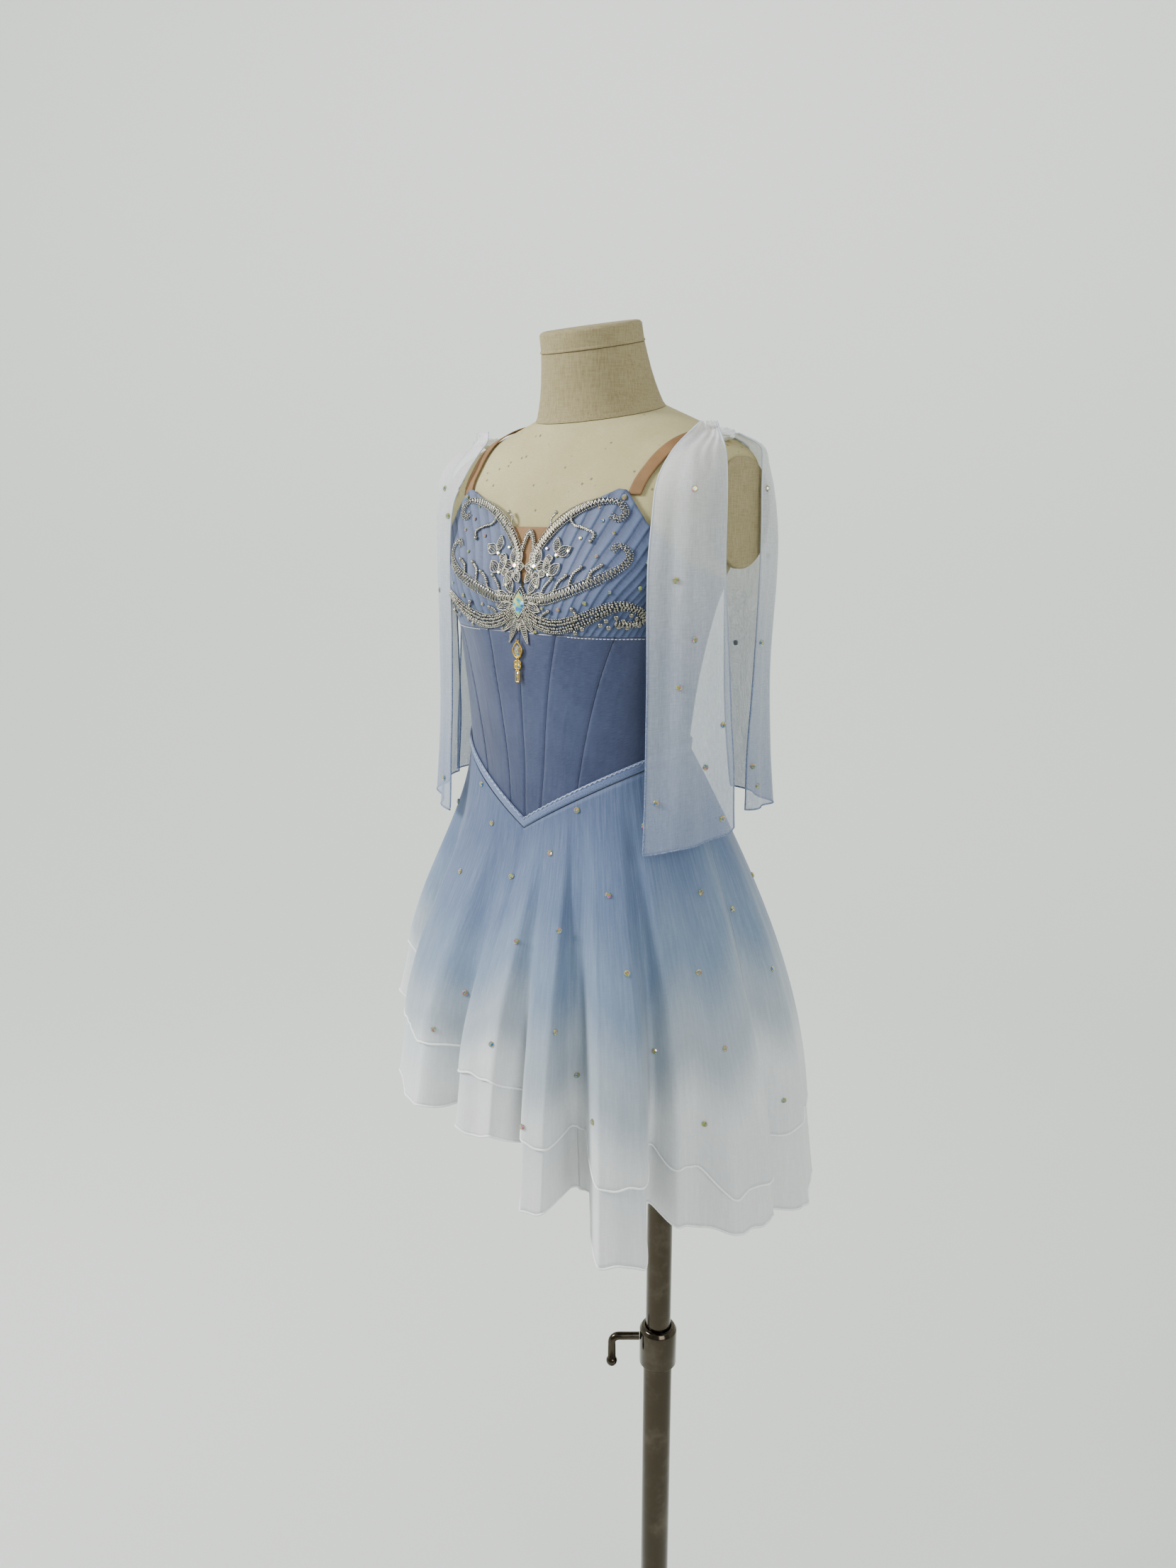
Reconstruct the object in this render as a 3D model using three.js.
// A lyrical dance dress worn by a limbless dress form on a pole stand.
// Millimetres, +Z up. The front of the dress faces -Y and its left side is +X.
// The origin is the middle of the base's underside, on the axis of the pole.
// The form stands off the pole, so the form and the dress are worked out about the form's own
// upright axis, as x to its left, forward towards the front, and z above the floor.
import * as THREE from 'three';
import { mergeVertices } from 'three/addons/utils/BufferGeometryUtils.js';

const DEG = Math.PI / 180;

// Stand
const BASE_RADIUS = 165;
const BASE_EDGE = 12;
const BASE_CROWN = 20;
const BASE_BOSS_RADIUS = 26;
const BASE_BOSS_TOP = 44;
const LOWER_TUBE_OUTER = 16;
const LOWER_TUBE_BORE = 14.6;
const LOWER_TUBE_TOP = 506;
const UPPER_TUBE_RADIUS = 14;
const UPPER_TUBE_FOOT = 240;
const COLLAR_RADIUS = 20.8;
const COLLAR_FOOT = 502;
const COLLAR_TOP = 549;
const LEVER_HEIGHT = 534;
const LEVER_ROD = 4.4;
const LEVER_BALL = 6.3;
const LEVER_REACH = 31;
const LEVER_DROP = 24;
const LEVER_HEADING = 220 * DEG;
const GAP = 0.3;

// Form
const FORM_X = -60;
const FORM_Y = -50;
const FORM_FOOT = 1030;
const SOCKET_FOOT = 984;
const SOCKET_RADIUS = 19;
const SOCKET_BORE = 14.35;
const FLANGE_RADIUS = 44;
const FLANGE_THICK = 8;
const SHOULDER_CUT = 158;
const ARM_PLATE = { forward: -15, z: 1440, halfDepth: 43, halfHeight: 48, thick: 6, edge: 1.6 };
const BUST = { angle: 33, swell: 11, spread: 22, z: 1374, rise: 38 };
const NECK = { lean: 11.3, foot: 1530.4, forward: -17, capStart: 59, top: 78 };

// Horizontal sections of the form: half width, depth to the front and to the back of the middle,
// how far forward the middle lies, the forward tilt of the section and its squareness (1 is an ellipse).
const FORM_SECTIONS = [
  { z: 1030, half: 120, front: 72, back: 84, mid: 6, tilt: 0, power: 1 },
  { z: 1090, half: 125, front: 76, back: 86, mid: 9, tilt: 0, power: 1 },
  { z: 1150, half: 123, front: 77, back: 84, mid: 14, tilt: 0, power: 1 },
  { z: 1210, half: 119, front: 71, back: 80, mid: 20, tilt: 0, power: 1 },
  { z: 1260, half: 122, front: 75, back: 84, mid: 19, tilt: 0, power: 1 },
  { z: 1308, half: 128, front: 79, back: 90, mid: 17, tilt: 0, power: 0.97 },
  { z: 1361, half: 138, front: 80, back: 96, mid: 12, tilt: 0, power: 0.93 },
  { z: 1400, half: 152, front: 77, back: 100, mid: 6, tilt: 0.02, power: 0.88 },
  { z: 1440, half: 166, front: 75, back: 98, mid: 0, tilt: 0.05, power: 0.84 },
  { z: 1470, half: 170, front: 73, back: 90, mid: -6, tilt: 0.09, power: 0.82 },
  { z: 1490, half: 158, front: 68, back: 78, mid: -12, tilt: 0.13, power: 0.84 },
  { z: 1505, half: 130, front: 65, back: 70, mid: -15, tilt: 0.16, power: 0.9 },
  { z: 1518, half: 97, front: 63, back: 65, mid: -16.5, tilt: 0.19, power: 0.96 },
  { z: 1530, half: 63, front: 61, back: 61, mid: -17, tilt: 0.2, power: 1 },
];

// Cloth: distances out from the form's surface to the inside and outside of each layer.
const BODICE = { inside: 1.6, outside: 3 };
const CUP = { inside: 1.6, outside: 3.2, pleat: 0.9, pleats: 14, slant: 19 };
const INSERT = { inside: 1.5, outside: 2.6, foot: 1379, top: 1430 };
const STRAP = { inside: 1.5, outside: 2.7, half: 6, xBack: 84 };
const STRAP_RUN = { left: { xFront: 101, xTop: 124 }, right: { xFront: 97, xTop: 99 } };
const BINDING = { inside: 3.6, outside: 5.2, height: 10 };
const APPLIQUE = { inside: 4.6, outside: 6.6 };

// Scrolls on one cup: half width, and the points of its run as degrees round and height.
const SCROLLS = [
  { name: 'upper', half: 4.2, run: [[4.5, 1384], [9, 1402], [16, 1422], [23, 1437], [29, 1444], [33, 1436]] },
  { name: 'middle', half: 3.4, run: [[5, 1366], [16, 1366], [28, 1375], [37, 1388], [41, 1404]] },
  { name: 'lower', half: 5.5, run: [[5, 1356], [13, 1347], [24, 1344], [36, 1350], [47, 1358], [57, 1352]] },
];
// Millimetres of cup to one degree round, which keeps a scroll's width even.
const SCROLL_STRETCH = 2.1;
const STONE = { z: 1359, halfX: 6.5, halfDeep: 3, halfZ: 11 };
// The charm hangs upright from its top ring and comes nearest to the bodice at the height given.
const CHARM = { top: 1328, nearest: 1310, depth: 2, clear: 0.5 };
const UNDERBUST_Z = 1335;
const CUP_END = 68;
const SEAM = 0.08;
const PANEL_ROWS = 5;

// Waist line, from the point at the centre front up to the level at the sides and back.
const WAIST = { point: 1149, side: 1222, turn: 90, power: 1.7 };

// Seams round one half of the bodice, in degrees from the centre front at the waist and at the top.
const SEAMS = {
  centreFront: { low: 0, high: 0 },
  front: { low: 8.5, high: 17 },
  cup: { low: 27, high: 43 },
  side: { low: CUP_END, high: CUP_END },
  sideBack: { low: 105, high: 105 },
  back: { low: 145, high: 145 },
  centreBack: { low: 180, high: 180 },
};
const PANELS = [
  { name: 'front_centre', from: SEAMS.centreFront, to: SEAMS.front, columns: 3, top: 'underbust' },
  { name: 'front_side', from: SEAMS.front, to: SEAMS.cup, columns: 4, top: 'underbust' },
  { name: 'side_front', from: SEAMS.cup, to: SEAMS.side, columns: 4, top: 'underbust' },
  { name: 'side_back', from: SEAMS.side, to: SEAMS.sideBack, columns: 5, top: 'neckline' },
  { name: 'back_side', from: SEAMS.sideBack, to: SEAMS.back, columns: 6, top: 'neckline' },
  { name: 'back_centre', from: SEAMS.back, to: SEAMS.centreBack, columns: 5, top: 'neckline' },
];

// Neckline height round one half, from the notch between the cups to the centre back.
const NECKLINE = [
  { angle: 0, z: 1370 }, { angle: 3, z: 1406 }, { angle: 8.5, z: 1430 }, { angle: 12, z: 1444 },
  { angle: 19, z: 1456 }, { angle: 26.5, z: 1465 }, { angle: 29.5, z: 1464 }, { angle: 34, z: 1452 },
  { angle: 41, z: 1435 }, { angle: 54, z: 1414 }, { angle: 68, z: 1398 }, { angle: 90, z: 1388 },
  { angle: 120, z: 1373 }, { angle: 150, z: 1363 }, { angle: 180, z: 1360 },
];

// Skirt: each row is the crest or the trough of a fold at the hem, with the hem heights of both layers.
const SKIRT_SHIFT = { x: 15, forward: -13 };
const SKIRT_MEAN = 192;
const SKIRT = { out: 4.6, half: 0.6, underGap: 1.2, edgeStart: 0.45, foldPower: 1.6, belowHem: 0.12 };
const FLARE = { slow: 1.75, quick: 0.95, slowAngle: -54 };
const FOLDS = [
  { angle: -92, reach: 170, hem: 972, under: 912 },
  { angle: -73, reach: 221, hem: 986, under: 930 },
  { angle: -54, reach: 176, hem: 958, under: 898 },
  { angle: -29, reach: 209, hem: 945, under: 880 },
  { angle: -9, reach: 170, hem: 941, under: 886 },
  { angle: 3, reach: 205, hem: 938, under: 884 },
  { angle: 14, reach: 178, hem: 924, under: 868 },
  { angle: 20, reach: 208, hem: 886, under: 824 },
  { angle: 27, reach: 160, hem: 884, under: 812 },
  { angle: 31, reach: 156, hem: 880, under: 808 },
  { angle: 42, reach: 217, hem: 857, under: 784 },
  { angle: 54, reach: 156, hem: 862, under: 792 },
  { angle: 64, reach: 190, hem: 853, under: 793 },
  { angle: 80, reach: 214, hem: 824, under: 786 },
  { angle: 93, reach: 172, hem: 836, under: 764 },
  { angle: 114, reach: 209, hem: 846, under: 756 },
  { angle: 136, reach: 166, hem: 854, under: 766 },
  { angle: 150, reach: 210, hem: 864, under: 792 },
  { angle: 163, reach: 160, hem: 875, under: 805 },
  { angle: 176, reach: 212, hem: 888, under: 819 },
  { angle: 190, reach: 162, hem: 900, under: 833 },
  { angle: 203, reach: 212, hem: 914, under: 848 },
  { angle: 215, reach: 160, hem: 927, under: 862 },
  { angle: 229, reach: 215, hem: 941, under: 877 },
  { angle: 242, reach: 164, hem: 952, under: 890 },
  { angle: 255, reach: 216, hem: 964, under: 903 },
  { angle: 268, reach: 170, hem: 972, under: 912 },
];
const SKIRT_ROWS = [0, 0.07, 0.16, 0.28, 0.42, 0.58, 0.78, 1];
const FOLD_STEPS = [0.42, 0.6, 0.8];
const FLAT_TROUGH = 8;

// Scarf tails: at each height the inner edge, the bow of the middle and the outer edge, in plan off the
// form's axis. Both x and forward are positive, x to the piece's own side.
const TAIL_THICK = 1.2;
const FRONT_SLANT = { inner: -15, outer: 2 };
const TAILS = {
  scarf_front_tail_left: [
    { z: 1517, x0: 133, f0: 8, x1: 139, f1: 11, x2: 145, f2: 3 },
    { z: 1507, x0: 125, f0: 16, x1: 141, f1: -1.3, x2: 149, f2: 2 },
    { z: 1491, x0: 124, f0: 38, x1: 152, f1: 40, x2: 159, f2: 9 },
    { z: 1468, x0: 126, f0: 60, x1: 166, f1: 56, x2: 167.5, f2: 18 },
    { z: 1437, x0: 127, f0: 68, x1: 168, f1: 56, x2: 168, f2: 17 },
    { z: 1394, x0: 127, f0: 73, x1: 168, f1: 55, x2: 168, f2: 15 },
    { z: 1306, x0: 128, f0: 74, x1: 169, f1: 54, x2: 172, f2: 10 },
    { z: 1220, x0: 130, f0: 78, x1: 172, f1: 55, x2: 176, f2: 6 },
    { z: 1160, x0: 133, f0: 84, x1: 178, f1: 58, x2: 179, f2: 5 },
  ],
  scarf_front_tail_right: [
    { z: 1517, x0: 126, f0: 6, x1: 136, f1: 9, x2: 147, f2: 1 },
    { z: 1507, x0: 112, f0: 22, x1: 140, f1: -2.2, x2: 151, f2: 2 },
    { z: 1496, x0: 104, f0: 41, x1: 148, f1: 40, x2: 158, f2: 8 },
    { z: 1477, x0: 102, f0: 61, x1: 162, f1: 56, x2: 166, f2: 18 },
    { z: 1448, x0: 111, f0: 72, x1: 167, f1: 58, x2: 168, f2: 16 },
    { z: 1403, x0: 115, f0: 75, x1: 168, f1: 56, x2: 169, f2: 14 },
    { z: 1330, x0: 115, f0: 75, x1: 169, f1: 54, x2: 171, f2: 11 },
    { z: 1237, x0: 116, f0: 77, x1: 171, f1: 55, x2: 174, f2: 6 },
    { z: 1160, x0: 114, f0: 84, x1: 178, f1: 58, x2: 179, f2: 6 },
  ],
  scarf_back_tail_left: [
    { z: 1508, x0: 135, f0: -29, x1: 141, f1: -33, x2: 149, f2: -26 },
    { z: 1498, x0: 128, f0: -76, x1: 152, f1: -70, x2: 166, f2: -34 },
    { z: 1482, x0: 106, f0: -96, x1: 160, f1: -84, x2: 168, f2: -36 },
    { z: 1461, x0: 92, f0: -104, x1: 172, f1: -90, x2: 168, f2: -36 },
    { z: 1424, x0: 84, f0: -112, x1: 180, f1: -93, x2: 168, f2: -37 },
    { z: 1385, x0: 82, f0: -114, x1: 180, f1: -93, x2: 167, f2: -38 },
    { z: 1300, x0: 82, f0: -116, x1: 174, f1: -92, x2: 160, f2: -44 },
    { z: 1224, x0: 84, f0: -118, x1: 180, f1: -94, x2: 155, f2: -46 },
    { z: 1164, x0: 88, f0: -124, x1: 186, f1: -98, x2: 152, f2: -50 },
  ],
  scarf_back_tail_right: [
    { z: 1508, x0: 135, f0: -29, x1: 141, f1: -33, x2: 149, f2: -26 },
    { z: 1498, x0: 128, f0: -76, x1: 152, f1: -70, x2: 166, f2: -34 },
    { z: 1482, x0: 106, f0: -96, x1: 160, f1: -84, x2: 170, f2: -33 },
    { z: 1461, x0: 92, f0: -104, x1: 174, f1: -90, x2: 174, f2: -24 },
    { z: 1424, x0: 84, f0: -112, x1: 184, f1: -92, x2: 180, f2: -12 },
    { z: 1385, x0: 82, f0: -114, x1: 188, f1: -90, x2: 183, f2: -8 },
    { z: 1300, x0: 82, f0: -116, x1: 190, f1: -88, x2: 190, f2: -8 },
    { z: 1224, x0: 84, f0: -118, x1: 196, f1: -90, x2: 196, f2: -8 },
    { z: 1160, x0: 88, f0: -124, x1: 202, f1: -94, x2: 203, f2: -10 },
  ],
};
const TAIL_ROWS = [0, 0.03, 0.07, 0.13, 0.25, 0.4, 0.6, 0.8, 1];
const TAIL_RIPPLE = { depth: 2.2, waves: 2.5 };
const KNOT = { x: 142, forward: -13.4, z: 1507.1, halfX: 9, halfForward: 15.5, halfZ: 6 };

// Colours
const CLOTH = {
  satin: { color: 0x4c5f8f, roughness: 0.38, metalness: 0 },
  cup: { color: 0x6880b4, roughness: 0.45, metalness: 0 },
  binding: { color: 0x7088b4, roughness: 0.35, metalness: 0 },
  nude: { color: 0xa8794f, roughness: 0.7, metalness: 0 },
  chiffon: { color: 0x9bb6d6, roughness: 0.8, metalness: 0 },
  under: { color: 0xdfe2e2, roughness: 0.8, metalness: 0 },
  scarf: { color: 0xa9b8cd, roughness: 0.8, metalness: 0 },
};
const HARD = {
  silver: { color: 0xc9c6b8, roughness: 0.3, metalness: 0.9 },
  stone: { color: 0xb6c8ff, roughness: 0.05, metalness: 0.1 },
  gold: { color: 0xc9a545, roughness: 0.3, metalness: 0.9 },
  canvas: { color: 0xd9d1b0, roughness: 0.9, metalness: 0 },
  linen: { color: 0xa29772, roughness: 0.95, metalness: 0 },
  chrome: { color: 0x9c9282, roughness: 0.2, metalness: 1 },
};

const dress = new THREE.Group();
dress.name = 'lyrical_dress';
const form = new THREE.Group();
form.position.set(FORM_X, FORM_Y, 0);
dress.add(form);

// Tables and curves

function lerp(a, b, share) {
  return a + (b - a) * share;
}

function smooth(share) {
  const s = Math.min(Math.max(share, 0), 1);
  return s * s * (3 - 2 * s);
}

function rowBefore(rows, key, at) {
  let i = 0;
  while (i < rows.length - 2 && rows[i + 1][key] <= at) i += 1;
  return i;
}

// Straight reading of a table between its rows.
function readLinear(rows, key, at, column) {
  const i = rowBefore(rows, key, at);
  const share = (at - rows[i][key]) / (rows[i + 1][key] - rows[i][key]);
  return lerp(rows[i][column], rows[i + 1][column], Math.min(Math.max(share, 0), 1));
}

// Smooth reading of a table: a cubic through its rows whose slope at a row is that of its neighbours.
function readCubic(rows, key, at, column) {
  const x = Math.min(Math.max(at, rows[0][key]), rows[rows.length - 1][key]);
  const i = rowBefore(rows, key, x);
  const slope = (k) => {
    const a = Math.max(k - 1, 0);
    const b = Math.min(k + 1, rows.length - 1);
    return (rows[b][column] - rows[a][column]) / (rows[b][key] - rows[a][key]);
  };
  const span = rows[i + 1][key] - rows[i][key];
  const s = (x - rows[i][key]) / span;
  const s2 = s * s;
  const s3 = s2 * s;
  return (2 * s3 - 3 * s2 + 1) * rows[i][column] + (s3 - 2 * s2 + s) * span * slope(i)
    + (3 * s2 - 2 * s3) * rows[i + 1][column] + (s3 - s2) * span * slope(i + 1);
}

// Form surface: degrees round from the centre front, height of the section.
function formPoint(angle, z) {
  const sin = Math.sin(angle * DEG);
  const cos = Math.cos(angle * DEG);
  const power = readCubic(FORM_SECTIONS, 'z', z, 'power');
  const depth = readCubic(FORM_SECTIONS, 'z', z, cos > 0 ? 'front' : 'back');
  const mid = readCubic(FORM_SECTIONS, 'z', z, 'mid');
  const wrapped = Math.abs(((angle + 180) % 360 + 360) % 360 - 180);
  const offAngle = (wrapped - BUST.angle) / BUST.spread;
  const offZ = (z - BUST.z) / BUST.rise;
  const swell = BUST.swell * Math.exp(-offAngle * offAngle - offZ * offZ);
  const x = readCubic(FORM_SECTIONS, 'z', z, 'half') * Math.sign(sin) * Math.abs(sin) ** power;
  const ahead = depth * Math.sign(cos) * Math.abs(cos) ** power;
  const tilt = readCubic(FORM_SECTIONS, 'z', z, 'tilt');
  return new THREE.Vector3(x + swell * sin, -(mid + ahead + swell * cos), z - ahead * tilt);
}

// Outward normal of a surface whose first value runs round and whose second runs up.
function normalOf(surface, u, v, stepU, stepV) {
  const across = surface(u + stepU, v).sub(surface(u - stepU, v));
  const up = surface(u, v + stepV).sub(surface(u, v - stepV));
  return across.cross(up).normalize();
}

function formOffset(angle, z, out) {
  return formPoint(angle, z).addScaledVector(normalOf(formPoint, angle, z, 0.2, 0.5), out);
}

function necklineZ(angle) {
  return readLinear(NECKLINE, 'angle', Math.abs(angle), 'z');
}

function waistZ(angle) {
  const turned = Math.min(Math.abs(angle), WAIST.turn) / WAIST.turn;
  return lerp(WAIST.point, WAIST.side, 1 - (1 - turned) ** WAIST.power);
}

// Solids

function toSolid(positions, triangles) {
  const geometry = new THREE.BufferGeometry();
  geometry.setAttribute('position', new THREE.Float32BufferAttribute(positions, 3));
  geometry.setIndex(triangles);
  return closeSolid(geometry);
}

// Merges shared corners and turns the faces outwards.
function closeSolid(source) {
  source.deleteAttribute('normal');
  source.deleteAttribute('uv');
  const geometry = mergeVertices(source, 1e-4);
  const place = geometry.getAttribute('position');
  const index = Array.from(geometry.index.array);
  const corner = [0, 1, 2].map(() => new THREE.Vector3());
  const kept = [];
  let volume = 0;
  for (let i = 0; i < index.length; i += 3) {
    const [a, b, c] = index.slice(i, i + 3);
    if (a === b || b === c || a === c) continue;
    kept.push(a, b, c);
    corner[0].fromBufferAttribute(place, a);
    corner[1].fromBufferAttribute(place, b);
    corner[2].fromBufferAttribute(place, c);
    volume += corner[0].dot(corner[1].clone().cross(corner[2]));
  }
  geometry.setIndex(volume < 0 ? kept.reverse() : kept);
  geometry.computeVertexNormals();
  return geometry;
}

// Cloth wall between two skins, each a function of two values read on the same grid.
// A closed wall runs all the way round, otherwise its two side edges are joined too.
function wall(outerSkin, innerSkin, us, vs, closed = false) {
  const positions = [];
  const triangles = [];
  const columns = us.length;
  const rows = vs.length;
  for (const skin of [outerSkin, innerSkin]) {
    for (const v of vs) {
      for (const u of us) positions.push(...skin(u, v).toArray());
    }
  }
  const at = (side, j, i) => side * rows * columns + j * columns + (i % columns);
  const quad = (a, b, c, d) => triangles.push(a, b, c, a, c, d);
  const spans = closed ? columns : columns - 1;
  for (let i = 0; i < spans; i += 1) {
    for (let j = 0; j < rows - 1; j += 1) {
      quad(at(0, j, i), at(0, j, i + 1), at(0, j + 1, i + 1), at(0, j + 1, i));
      quad(at(1, j, i), at(1, j + 1, i), at(1, j + 1, i + 1), at(1, j, i + 1));
    }
    quad(at(0, 0, i), at(1, 0, i), at(1, 0, i + 1), at(0, 0, i + 1));
    quad(at(0, rows - 1, i), at(0, rows - 1, i + 1), at(1, rows - 1, i + 1), at(1, rows - 1, i));
  }
  if (!closed) {
    for (let j = 0; j < rows - 1; j += 1) {
      quad(at(0, j, 0), at(0, j + 1, 0), at(1, j + 1, 0), at(1, j, 0));
      const end = columns - 1;
      quad(at(0, j, end), at(1, j, end), at(1, j + 1, end), at(0, j + 1, end));
    }
  }
  return toSolid(positions, triangles);
}

// Closed solid through rings of equal count, with a point in the middle of each end.
function loft(rings) {
  const count = rings[0].length;
  const positions = rings.flat().flatMap((point) => point.toArray());
  const triangles = [];
  for (let r = 0; r < rings.length - 1; r += 1) {
    for (let i = 0; i < count; i += 1) {
      const next = (i + 1) % count;
      const low = r * count;
      const high = low + count;
      triangles.push(low + i, low + next, high + next, low + i, high + next, high + i);
    }
  }
  for (const [ring, turned] of [[0, true], [rings.length - 1, false]]) {
    const middle = rings[ring].reduce((sum, p) => sum.add(p), new THREE.Vector3()).divideScalar(count);
    const apex = positions.length / 3;
    positions.push(...middle.toArray());
    for (let i = 0; i < count; i += 1) {
      const a = ring * count + i;
      const b = ring * count + ((i + 1) % count);
      triangles.push(...(turned ? [b, a, apex] : [a, b, apex]));
    }
  }
  return toSolid(positions, triangles);
}

// Turned solid about the upright axis from a profile of radius and height.
function turned(profile, sides) {
  const points = profile.map(([radius, height]) => new THREE.Vector2(radius, height));
  const geometry = new THREE.LatheGeometry(points, sides);
  geometry.rotateX(90 * DEG);
  return closeSolid(geometry);
}

// Round bar along points, with its own radius at each.
function bar(points, radii, sides) {
  const rings = points.map((point, k) => {
    const before = points[Math.max(k - 1, 0)];
    const after = points[Math.min(k + 1, points.length - 1)];
    const along = after.clone().sub(before).normalize();
    const side = new THREE.Vector3(Math.sin(LEVER_HEADING), -Math.cos(LEVER_HEADING), 0);
    const other = side.clone().cross(along).normalize();
    return Array.from({ length: sides }, (_, i) => {
      const turn = (i / sides) * 2 * Math.PI;
      return point.clone().addScaledVector(side, Math.cos(turn) * radii[k])
        .addScaledVector(other, Math.sin(turn) * radii[k]);
    });
  });
  return loft(rings);
}

function steps(from, to, count) {
  return Array.from({ length: count + 1 }, (_, i) => lerp(from, to, i / count));
}

function add(group, name, geometry, finish) {
  const mesh = new THREE.Mesh(geometry, new THREE.MeshStandardMaterial(finish));
  mesh.name = name;
  group.add(mesh);
  return mesh;
}

// Stand: weighted base, lower tube, clamp collar and its lever, and the tube that slides in it.
function buildStand() {
  const tubeFoot = BASE_CROWN + GAP;
  add(dress, 'stand_base', turned([
    [0, 0], [BASE_RADIUS, 0], [BASE_RADIUS, BASE_EDGE - 3], [BASE_RADIUS - 4, BASE_EDGE],
    [BASE_BOSS_RADIUS + 12, BASE_CROWN], [BASE_BOSS_RADIUS, BASE_CROWN + 8],
    [BASE_BOSS_RADIUS - 3, BASE_BOSS_TOP], [LOWER_TUBE_OUTER + GAP, BASE_BOSS_TOP],
    [LOWER_TUBE_OUTER + GAP, BASE_CROWN], [0, BASE_CROWN]], 32), HARD.chrome);
  add(dress, 'stand_lower_tube', turned([
    [LOWER_TUBE_BORE, tubeFoot], [LOWER_TUBE_OUTER, tubeFoot], [LOWER_TUBE_OUTER, LOWER_TUBE_TOP],
    [LOWER_TUBE_BORE, LOWER_TUBE_TOP], [LOWER_TUBE_BORE, tubeFoot]], 24), HARD.chrome);
  add(dress, 'stand_collar', turned([
    [LOWER_TUBE_OUTER + GAP, COLLAR_FOOT], [COLLAR_RADIUS, COLLAR_FOOT], [COLLAR_RADIUS, COLLAR_TOP - 5],
    [COLLAR_RADIUS - 2.5, COLLAR_TOP - 1], [LOWER_TUBE_BORE + 1, COLLAR_TOP], [LOWER_TUBE_BORE, COLLAR_TOP],
    [LOWER_TUBE_BORE, LOWER_TUBE_TOP + GAP], [LOWER_TUBE_OUTER + GAP, LOWER_TUBE_TOP + GAP],
    [LOWER_TUBE_OUTER + GAP, COLLAR_FOOT]], 24), HARD.chrome);
  add(dress, 'stand_upper_tube', turned([
    [0, UPPER_TUBE_FOOT], [UPPER_TUBE_RADIUS, UPPER_TUBE_FOOT],
    [UPPER_TUBE_RADIUS, FORM_FOOT - FLANGE_THICK - 2 * GAP], [0, FORM_FOOT - FLANGE_THICK - 2 * GAP]],
  24), HARD.chrome);
  add(dress, 'clamp_lever', leverGeometry(), HARD.chrome);
}

// Clamp screw out of the collar, a bend down and the ball at its end.
function leverGeometry() {
  const out = new THREE.Vector3(Math.cos(LEVER_HEADING), Math.sin(LEVER_HEADING), 0);
  const start = COLLAR_RADIUS + GAP;
  const bend = 8;
  const place = (reach, drop) => out.clone().multiplyScalar(start + reach).setZ(LEVER_HEIGHT - drop);
  const points = [place(0, 0), place(LEVER_REACH - bend, 0)];
  const radii = [LEVER_ROD, LEVER_ROD];
  for (const turn of [30, 60, 90]) {
    points.push(place(LEVER_REACH - bend + bend * Math.sin(turn * DEG), bend - bend * Math.cos(turn * DEG)));
    radii.push(LEVER_ROD);
  }
  const ball = LEVER_DROP + bend;
  for (const turn of [-45, -15, 15, 45, 70]) {
    points.push(place(LEVER_REACH, ball + LEVER_BALL * Math.sin(turn * DEG)));
    radii.push(LEVER_BALL * Math.cos(turn * DEG));
  }
  return bar(points, radii, 10);
}

// Form: padded torso cut off flat at the shoulders, neck block, cap, arm plates and pole socket.
function buildForm() {
  const heights = [FORM_FOOT, 1075, 1120, 1165, 1210, 1255, 1300, 1330, 1355, 1380, 1405,
    1432, 1458, 1477, 1491, 1502, 1512, 1521, 1530];
  const around = steps(0, 360, 36).slice(0, -1);
  const cut = SHOULDER_CUT;
  const rings = heights.map((z) => around.map((angle) => {
    const point = formPoint(angle, z);
    point.x = Math.min(Math.max(point.x, -cut), cut);
    return point;
  }));
  add(form, 'form_torso', loft(rings), HARD.canvas);

  const neck = new THREE.Group();
  neck.position.set(0, -NECK.forward, NECK.foot);
  neck.rotation.x = NECK.lean * DEG;
  form.add(neck);
  add(neck, 'form_neck', turned([
    [0, 0], [62, 0], [59.6, 4], [57, 12], [54.3, 22], [51.8, 34], [49.6, 48],
    [48.2, NECK.capStart - GAP], [0, NECK.capStart - GAP]], 28), HARD.linen);
  add(neck, 'form_cap', turned([
    [0, NECK.capStart], [49, NECK.capStart], [49, NECK.capStart + 1.6], [48, NECK.capStart + 2.6],
    [47.6, NECK.top - 3], [45.6, NECK.top - 0.8], [42, NECK.top], [0, NECK.top]], 28), HARD.linen);

  for (const side of [-1, 1]) {
    const ring = (grow, x) => steps(0, 360, 32).slice(0, -1).map((turn) => new THREE.Vector3(
      side * x,
      -(ARM_PLATE.forward + (ARM_PLATE.halfDepth - grow) * Math.cos(turn * DEG)),
      ARM_PLATE.z + (ARM_PLATE.halfHeight - grow) * Math.sin(turn * DEG),
    ));
    const inner = SHOULDER_CUT + GAP;
    const outer = inner + ARM_PLATE.thick;
    const name = side > 0 ? 'arm_plate_left' : 'arm_plate_right';
    add(form, name, loft([ring(0, inner), ring(0, outer - ARM_PLATE.edge),
      ring(ARM_PLATE.edge, outer)]), HARD.linen);
  }

  const flange = FORM_FOOT - GAP;
  const under = flange - FLANGE_THICK;
  add(dress, 'form_socket', turned([
    [0, flange], [FLANGE_RADIUS, flange], [FLANGE_RADIUS, under], [SOCKET_RADIUS, under],
    [SOCKET_RADIUS, SOCKET_FOOT], [SOCKET_BORE, SOCKET_FOOT], [SOCKET_BORE, under], [0, under]],
  24), HARD.chrome);
}

function sideName(name, side) {
  return `${name}_${side > 0 ? 'left' : 'right'}`;
}

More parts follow.
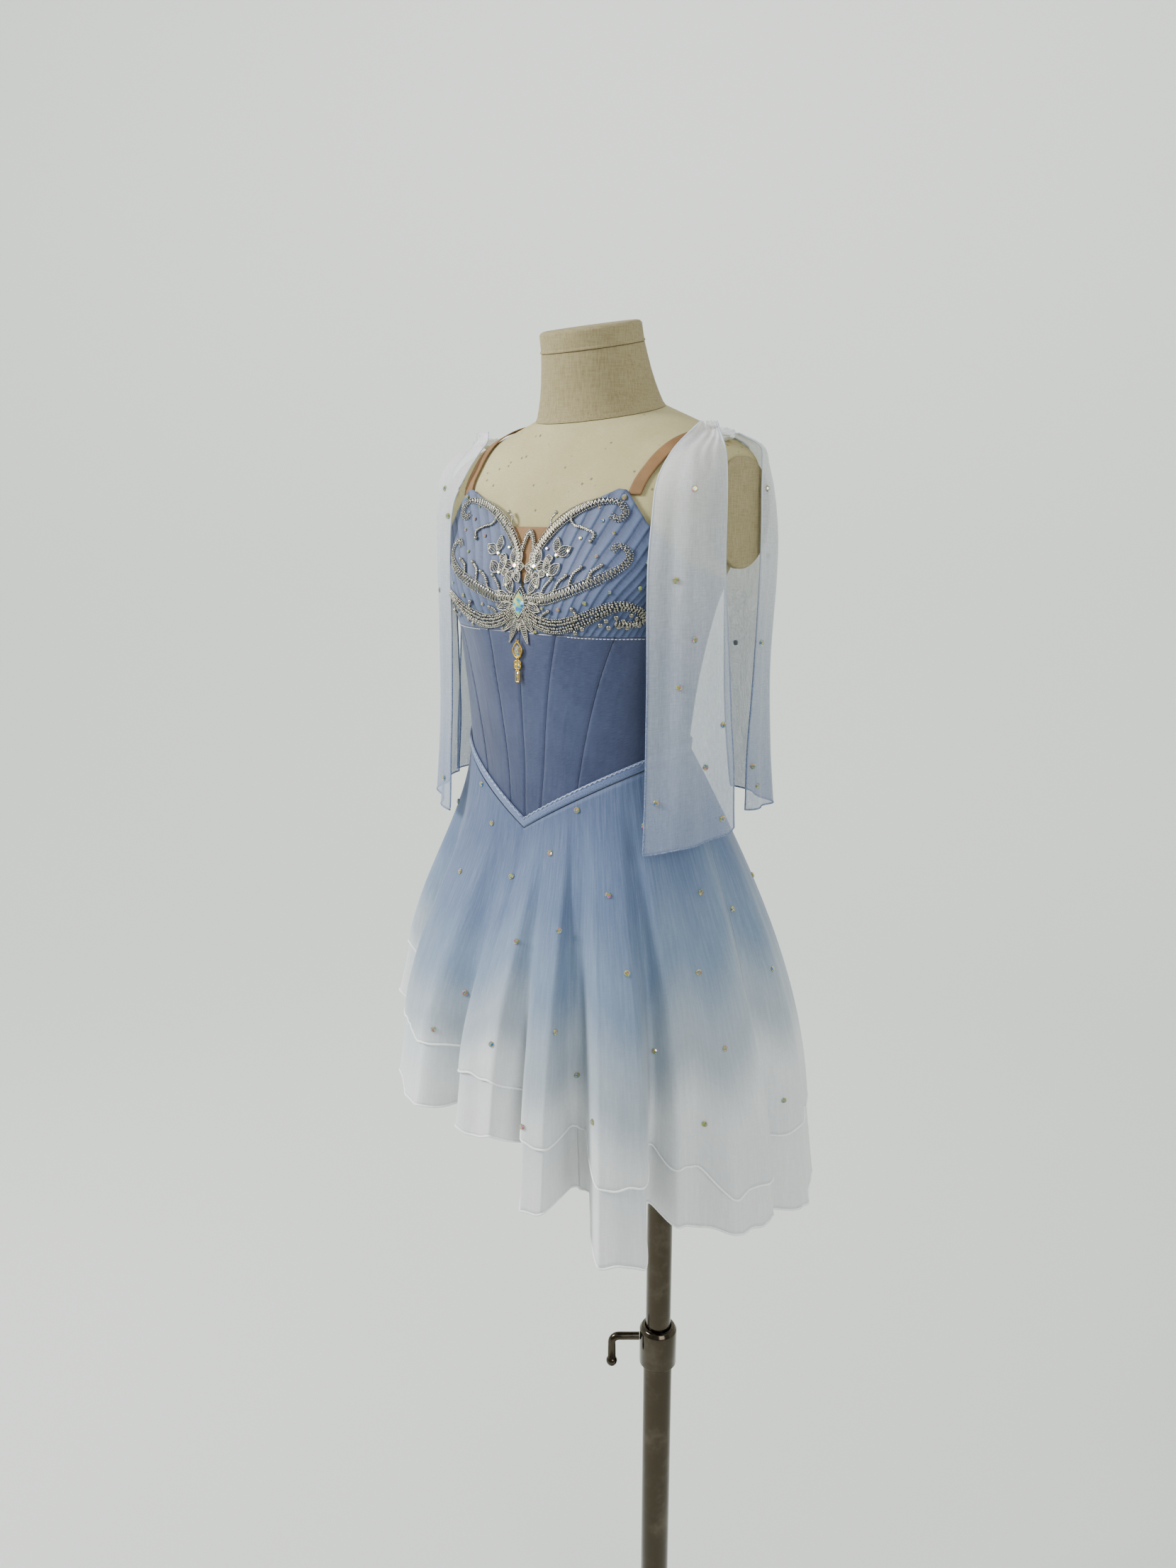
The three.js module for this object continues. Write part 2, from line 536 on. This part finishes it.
// One bodice panel: a wall on the form between two seams, from the waist line to its top edge.
function panelGeometry(side, panel, lowZ, highZ) {
  const skin = (out) => (across, share) => {
    const from = lerp(panel.from.low, panel.from.high, share) + SEAM;
    const to = lerp(panel.to.low, panel.to.high, share) - SEAM;
    const angle = lerp(from, to, across);
    return formOffset(side * angle, lerp(lowZ(angle), highZ(angle), share), out);
  };
  return wall(skin(BODICE.outside), skin(BODICE.inside), steps(0, 1, panel.columns), steps(0, 1, PANEL_ROWS));
}

// Bodice: six gored panels a side, the pleated cups and the mesh insert between them.
function buildBodice() {
  const underbust = () => UNDERBUST_Z - GAP / 2;
  for (const side of [-1, 1]) {
    for (const panel of PANELS) {
      const top = panel.top === 'underbust' ? underbust : necklineZ;
      add(form, sideName(`bodice_${panel.name}`, side), panelGeometry(side, panel, waistZ, top), CLOTH.satin);
    }
    add(form, sideName('cup', side), cupGeometry(side), CLOTH.cup);
  }
  const shares = steps(-1, 1, 6);
  const edge = (z) => {
    const i = rowBefore(NECKLINE, 'z', z);
    const a = NECKLINE[i];
    const b = NECKLINE[i + 1];
    return lerp(a.angle, b.angle, (z - a.z) / (b.z - a.z)) - 2 * SEAM;
  };
  const skin = (out) => (share, z) => formOffset(share * edge(z), z, out);
  add(form, 'mesh_insert', wall(skin(INSERT.outside), skin(INSERT.inside), shares,
    steps(INSERT.foot, INSERT.top, 5)), CLOTH.nude);
}

// Where a place on the cup lies: share across the under-bust seam and share up the slanting pleats.
function cupPlace(across, up) {
  const low = lerp(2 * SEAM, CUP_END - SEAM, across);
  const high = low + CUP.slant * Math.sin(Math.PI * across);
  const angle = lerp(low, high, up);
  const foot = UNDERBUST_Z + GAP / 2;
  return { angle, z: lerp(foot, necklineZ(high), up) };
}

function cupGeometry(side) {
  const skin = (out, pleat) => (across, up) => {
    const place = cupPlace(across, up);
    const fold = (across * CUP.pleats) % 1;
    return formOffset(side * place.angle, place.z, out + pleat * (fold < 0.5 ? 0 : 1));
  };
  return wall(skin(CUP.outside, CUP.pleat), skin(CUP.inside, 0),
    steps(0, 1, 2 * CUP.pleats), steps(0, 1, 5));
}

// Satin binding that covers the waist seam all round.
function buildBinding() {
  const skin = (out) => (angle, share) => {
    const low = waistZ(angle > 180 ? 360 - angle : angle);
    return formOffset(angle, low + 0.6 + BINDING.height * share, out);
  };
  add(form, 'waist_binding', wall(skin(BINDING.outside), skin(BINDING.inside),
    steps(0, 360, 48).slice(0, -1), [0, 1], true), CLOTH.binding);
}

// Straps over the shoulders, cut by upright planes that run back from the cups.
function buildStraps() {
  const ridge = (x) => {
    let low = 1470;
    let high = 1530;
    for (let k = 0; k < 30; k += 1) {
      const z = (low + high) / 2;
      if (readCubic(FORM_SECTIONS, 'z', z, 'half') > x) low = z;
      else high = z;
    }
    return low;
  };
  for (const side of [-1, 1]) {
    const run = side > 0 ? STRAP_RUN.left : STRAP_RUN.right;
    const surface = (across, along) => {
      const front = along < 1;
      const middle = front ? lerp(run.xFront, run.xTop, along) : lerp(run.xTop, STRAP.xBack, along - 1);
      const x = middle + across;
      const foot = front ? 1454 : 1372;
      const rise = front ? along : 2 - along;
      const z = lerp(foot, ridge(x), Math.sin(rise * 90 * DEG));
      const half = readCubic(FORM_SECTIONS, 'z', z, 'half');
      const power = readCubic(FORM_SECTIONS, 'z', z, 'power');
      const turn = Math.asin(Math.min(1, (x / half) ** (1 / power))) / DEG;
      return formPoint(side * (front ? turn : 180 - turn), z);
    };
    const skin = (out) => (across, along) => {
      const step = 0.02;
      const near = surface(across, Math.min(along + step, 2)).sub(surface(across, Math.max(along - step, 0)));
      const wide = surface(across + 1, along).sub(surface(across - 1, along));
      const normal = wide.cross(near).normalize().multiplyScalar(side);
      return surface(across, along).addScaledVector(normal, out);
    };
    const width = steps(-STRAP.half, STRAP.half, 2);
    add(form, sideName('strap', side), wall(skin(STRAP.outside), skin(STRAP.inside),
      width, steps(0.14, 1.97, 18)), CLOTH.nude);
  }
}

// Skirt

function foldRow(angle) {
  return rowBefore(FOLDS, 'angle', angle);
}

// Share of the way from a crest to its trough, flat over the crest and steep at the flank.
function foldShare(angle, i) {
  const a = FOLDS[i];
  const b = FOLDS[i + 1];
  const share = (angle - a.angle) / (b.angle - a.angle);
  const fromCrest = a.reach > b.reach ? share : 1 - share;
  const steep = smooth((fromCrest - SKIRT.edgeStart) / (1 - SKIRT.edgeStart));
  return a.reach > b.reach ? steep : 1 - steep;
}

function hemAt(angle, column) {
  const i = foldRow(angle);
  return lerp(FOLDS[i][column], FOLDS[i + 1][column], foldShare(angle, i));
}

// Skirt surface: degrees round and height. It leaves the waist line and flares to the folded hem.
function skirtPoint(angle, z) {
  const wrapped = angle > 180 ? angle - 360 : angle;
  const topZ = waistZ(wrapped);
  const share = Math.max(0, (topZ - z) / (topZ - hemAt(angle, 'hem')));
  const top = formOffset(angle, topZ, SKIRT.out);
  const quick = (1 - Math.cos((angle - FLARE.slowAngle) * DEG)) / 2;
  const power = lerp(FLARE.slow, FLARE.quick, quick);
  const flare = share < 1 ? Math.sin(share * 90 * DEG) ** power : 1 + SKIRT.belowHem * (share - 1);
  const fold = (hemAt(angle, 'reach') - SKIRT_MEAN) * share ** SKIRT.foldPower;
  const sin = Math.sin(angle * DEG);
  const cos = Math.cos(angle * DEG);
  const x = lerp(top.x, SKIRT_SHIFT.x + SKIRT_MEAN * sin, flare) + fold * sin;
  const y = lerp(top.y, -SKIRT_SHIFT.forward - SKIRT_MEAN * cos, flare) - fold * cos;
  return new THREE.Vector3(x, y, z);
}

function skirtColumns(from, to) {
  const columns = [];
  for (let i = 0; i < FOLDS.length - 1; i += 1) {
    const a = FOLDS[i];
    const b = FOLDS[i + 1];
    if (a.angle < from || b.angle > to) continue;
    columns.push(a.angle);
    if (Math.abs(a.reach - b.reach) < FLAT_TROUGH) continue;
    const rising = a.reach < b.reach;
    const shares = rising ? FOLD_STEPS.map((s) => 1 - s).reverse() : FOLD_STEPS;
    const passed = shares.map((s) => lerp(a.angle, b.angle, s));
    if (a.angle < 0 && b.angle > 0) passed.push(0);
    columns.push(...passed.sort((p, q) => p - q));
  }
  columns.push(to);
  return columns;
}

function buildSkirt() {
  const halves = [
    { name: 'front', from: FOLDS[0].angle, to: 93 },
    { name: 'back', from: 93, to: FOLDS[FOLDS.length - 1].angle },
  ];
  const layers = [
    { name: 'skirt_over', rows: SKIRT_ROWS, middle: 0, finish: CLOTH.chiffon },
    { name: 'skirt_under', rows: [...SKIRT_ROWS, 2], middle: -2 * SKIRT.half - SKIRT.underGap,
      finish: CLOTH.under },
  ];
  for (const layer of layers) {
    for (const halfSkirt of halves) {
      const columns = skirtColumns(halfSkirt.from, halfSkirt.to);
      columns[0] += SEAM;
      columns[columns.length - 1] -= SEAM;
      const skin = (out) => (angle, fall) => {
        const topZ = waistZ(angle > 180 ? angle - 360 : angle) - GAP;
        const hem = hemAt(angle, 'hem');
        const z = fall > 1 ? lerp(hem, hemAt(angle, 'under'), fall - 1) : lerp(topZ, hem, fall);
        const normal = normalOf(skirtPoint, angle, Math.min(z, topZ - 1.5), 0.25, 1);
        return skirtPoint(angle, z).addScaledVector(normal, out);
      };
      add(form, `${layer.name}_${halfSkirt.name}`, wall(skin(layer.middle + SKIRT.half),
        skin(layer.middle - SKIRT.half), columns, layer.rows), layer.finish);
    }
  }
}

// Scarf tails: a bowed strip down the front and one down the back of each shoulder, tied on top of it.
function buildScarves() {
  for (const [name, rows] of Object.entries(TAILS)) {
    const side = name.endsWith('left') ? 1 : -1;
    const slants = name.startsWith('scarf_front') ? FRONT_SLANT : { inner: 0, outer: 0 };
    const top = rows[0].z;
    const foot = rows[rows.length - 1].z;
    const falling = rows.map((row) => ({ ...row, drop: top - row.z }));
    const surface = (across, z) => {
      const drop = top - z;
      const read = (column) => readCubic(falling, 'drop', drop, column);
      const bow = (a, b, c) => (1 - across) ** 2 * a + 2 * across * (1 - across) * b + across ** 2 * c;
      const share = drop / (top - foot);
      const wave = Math.sin(TAIL_RIPPLE.waves * 2 * Math.PI * across);
      const x = bow(read('x0'), read('x1'), read('x2')) + TAIL_RIPPLE.depth * smooth(share * 3) * wave;
      const forward = bow(read('f0'), read('f1'), read('f2'));
      const slant = lerp(slants.inner, slants.outer, across) * smooth(share);
      return new THREE.Vector3(side * x, -forward, z + slant);
    };
    const skin = (out) => (across, z) => surface(across, z)
      .addScaledVector(normalOf(surface, across, z, 0.01, 1), out);
    const heights = TAIL_ROWS.map((share) => lerp(top, foot, share)).reverse();
    add(form, name, wall(skin(TAIL_THICK / 2), skin(-TAIL_THICK / 2), steps(0, 1, 8), heights), CLOTH.scarf);
  }
  for (const side of [-1, 1]) {
    const knot = new THREE.SphereGeometry(1, 10, 6);
    knot.scale(KNOT.halfX, KNOT.halfForward, KNOT.halfZ);
    knot.translate(side * KNOT.x, -KNOT.forward, KNOT.z);
    add(form, sideName('scarf_knot', side), closeSolid(knot), CLOTH.scarf);
  }
}

// Width of a scroll along its run, as a share of its widest: a third at the root and at the tip.
function scrollWidth(along) {
  return 0.35 + 0.65 * Math.sin(Math.PI * Math.min(along * 1.15 + 0.1, 1) ** 0.8);
}

// Beaded applique: scrolls as raised ribbons that lie on the cups, a set stone and a hanging charm.
function buildApplique() {
  for (const side of [-1, 1]) {
    for (const scroll of SCROLLS) {
      const run = scroll.run.map(([angle, z]) => new THREE.Vector3(angle, z, 0));
      const curve = new THREE.CatmullRomCurve3(run);
      const skin = (out) => (along, across) => {
        const at = curve.getPoint(along);
        const ahead = curve.getTangent(along);
        const length = Math.hypot(ahead.x * SCROLL_STRETCH, ahead.y);
        const half = scroll.half * scrollWidth(along);
        const angle = at.x - across * half * (ahead.y / length) / SCROLL_STRETCH;
        const z = at.y + across * half * (ahead.x * SCROLL_STRETCH / length);
        return formOffset(side * angle, z, out);
      };
      add(form, sideName(`applique_${scroll.name}_scroll`, side), wall(skin(APPLIQUE.outside),
        skin(APPLIQUE.inside), steps(0, 1, 13), [-1, 0, 1]), HARD.silver);
    }
  }
  const chest = formOffset(0, STONE.z, CUP.outside + CUP.pleat);
  const stone = new THREE.SphereGeometry(1, 12, 8);
  stone.scale(STONE.halfX, STONE.halfDeep, STONE.halfZ);
  stone.translate(chest.x, chest.y - STONE.halfDeep, chest.z);
  add(form, 'applique_centre_stone', closeSolid(stone), HARD.stone);
}

// Charm of three links on one shank, hanging just clear of the centre front seam.
function buildCharm() {
  const away = formOffset(0, CHARM.nearest, BODICE.outside).y - CHARM.depth - CHARM.clear;
  const links = [
    { z: 0, half: 1.2 }, { z: -3, half: 3.5 }, { z: -8, half: 5.6 }, { z: -13, half: 4.4 },
    { z: -16.5, half: 1.3 }, { z: -19, half: 3.2 }, { z: -22.5, half: 4.2 }, { z: -26, half: 3 },
    { z: -28, half: 1.1 }, { z: -30, half: 2.2 }, { z: -38, half: 2.2 }, { z: -39, half: 1.2 },
  ];
  const rings = links.map((link) => steps(0, 360, 8).slice(0, -1).map((turn) => new THREE.Vector3(
    link.half * Math.cos(turn * DEG),
    away + Math.min(link.half, CHARM.depth) * Math.sin(turn * DEG),
    CHARM.top + link.z,
  )));
  add(form, 'charm', loft(rings), HARD.gold);
}

buildStand();
buildForm();
buildBodice();
buildBinding();
buildStraps();
buildSkirt();
buildScarves();
buildApplique();
buildCharm();

export default dress;
